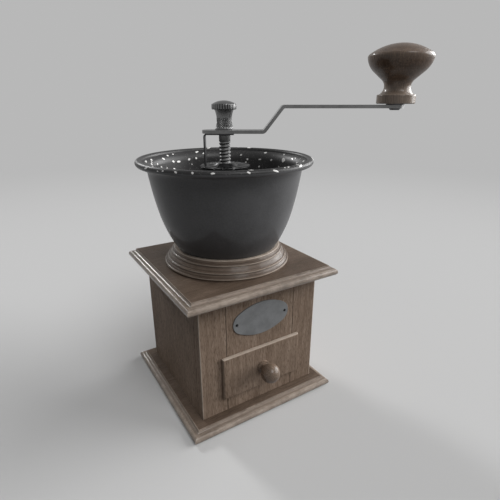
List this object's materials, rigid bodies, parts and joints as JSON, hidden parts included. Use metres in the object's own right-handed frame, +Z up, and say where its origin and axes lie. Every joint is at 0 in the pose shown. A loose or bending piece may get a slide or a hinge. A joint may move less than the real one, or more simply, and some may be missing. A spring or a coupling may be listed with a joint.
{
  "type": "hand crank coffee grinder",
  "caption": "Wooden box coffee grinder with an open bowl hopper, cranked handle with a mushroom knob, adjustable conical burrs and a drawer.",
  "frame": {"origin": "centre of the base board's underside", "axes": "+Z up along the spindle, -Y towards the drawer's front, +X to the right seen from the drawer's side"},
  "size_m": [0.1816, 0.1446, 0.2541],
  "materials": {
    "moulding_wood": "stained, satin varnish, worn edges",
    "box_wood": "stained open-grained wood, nearly matt",
    "inner_wood": "plain sanded wood",
    "knob_wood": "dark turned wood, gloss varnish",
    "enamel": "dark grey enamel, satin outside, glossy and speckled inside and on the rim",
    "plate_metal": "dull zinc-grey sheet",
    "steel": "plain steel, slightly aged",
    "spring_steel": "dark tempered steel",
    "brass": "dull brass",
    "iron": "bare cast iron",
    "thread_steel": "threaded steel",
    "disc_steel": "turned steel with radial grooves",
    "crank_steel": "flat steel strip, satin",
    "nut_steel": "knurled steel, sparkling foot"
  },
  "bodies": {
    "mill": {"base_board": "moulding_wood", "left_side": "box_wood", "right_side": "box_wood", "back_panel": "box_wood", "left_stile": "box_wood", "right_stile": "box_wood", "upper_front_panel": "box_wood", "lower_rail": "box_wood", "top_board": "moulding_wood", "box_dowels": "inner_wood", "base_screws": "steel", "left_runner": "inner_wood", "right_runner": "inner_wood", "blank_plate": "plate_metal", "plate_pins": "steel", "turned_ring": "moulding_wood", "hopper_bowl": "enamel", "hopper_bolts": "steel", "bridge": "steel", "bridge_bush": "brass", "spindle_spring": "spring_steel", "burr_housing": "iron", "outer_burr": "iron", "lower_bearing": "iron", "bearing_screws": "steel"},
    "drawer": {"drawer_front": "box_wood", "drawer_left_side": "inner_wood", "drawer_right_side": "inner_wood", "drawer_back": "inner_wood", "drawer_floor": "inner_wood", "drawer_knob": "knob_wood", "drawer_knob_screw": "steel"},
    "seat_washer": {"keyed_washer": "steel"},
    "adjuster": {"adjusting_disc": "disc_steel"},
    "spindle_set": {"spindle": "thread_steel", "spring_collar": "steel", "collar_pin": "steel", "inner_burr": "iron", "burr_nut": "steel", "detent_spring": "spring_steel", "crank_arm": "crank_steel", "knob_pin": "steel", "knob_washer": "steel"},
    "nut_collar": {"nut_washer": "steel"},
    "nut": {"knurled_nut": "nut_steel"},
    "knob": {"crank_knob": "knob_wood"}
  },
  "joints": [
    {"name": "crank_turn", "type": "hinge", "parent": "mill", "child": "seat_washer", "pos_m": [0, 0, 0.1732], "axis": [0, 0, 1], "continuous": true},
    {"name": "burr_lift", "type": "slide", "parent": "seat_washer", "child": "spindle_set", "axis": [0, 0, 1], "range_m": [0, 0.00117], "deforming": ["spindle_spring"]},
    {"name": "disc_turn", "type": "hinge", "parent": "seat_washer", "child": "adjuster", "pos_m": [0, 0, 0.1752], "axis": [0, 0, -1], "range_deg": [0, 180]},
    {"name": "knob_spin", "type": "hinge", "parent": "spindle_set", "child": "knob", "pos_m": [0.09846, -0.06152, 0.2175], "axis": [0, 0, 1], "continuous": true},
    {"name": "nut_rise", "type": "slide", "parent": "spindle_set", "child": "nut_collar", "axis": [0, 0, 1], "range_m": [0, 0.0026]},
    {"name": "nut_turn", "type": "hinge", "parent": "nut_collar", "child": "nut", "pos_m": [0, 0, 0.2013], "axis": [0, 0, 1], "range_deg": [0, 720]},
    {"name": "drawer_slide", "type": "slide", "parent": "mill", "child": "drawer", "axis": [0, -1, 0], "range_m": [0, 0.065]}
  ],
  "couplings": [
    {"joint": "disc_turn", "follows": "burr_lift", "rad_per_m": 2673.7},
    {"joint": "nut_rise", "follows": "nut_turn", "m_per_rad": 0.00019894}
  ]
}
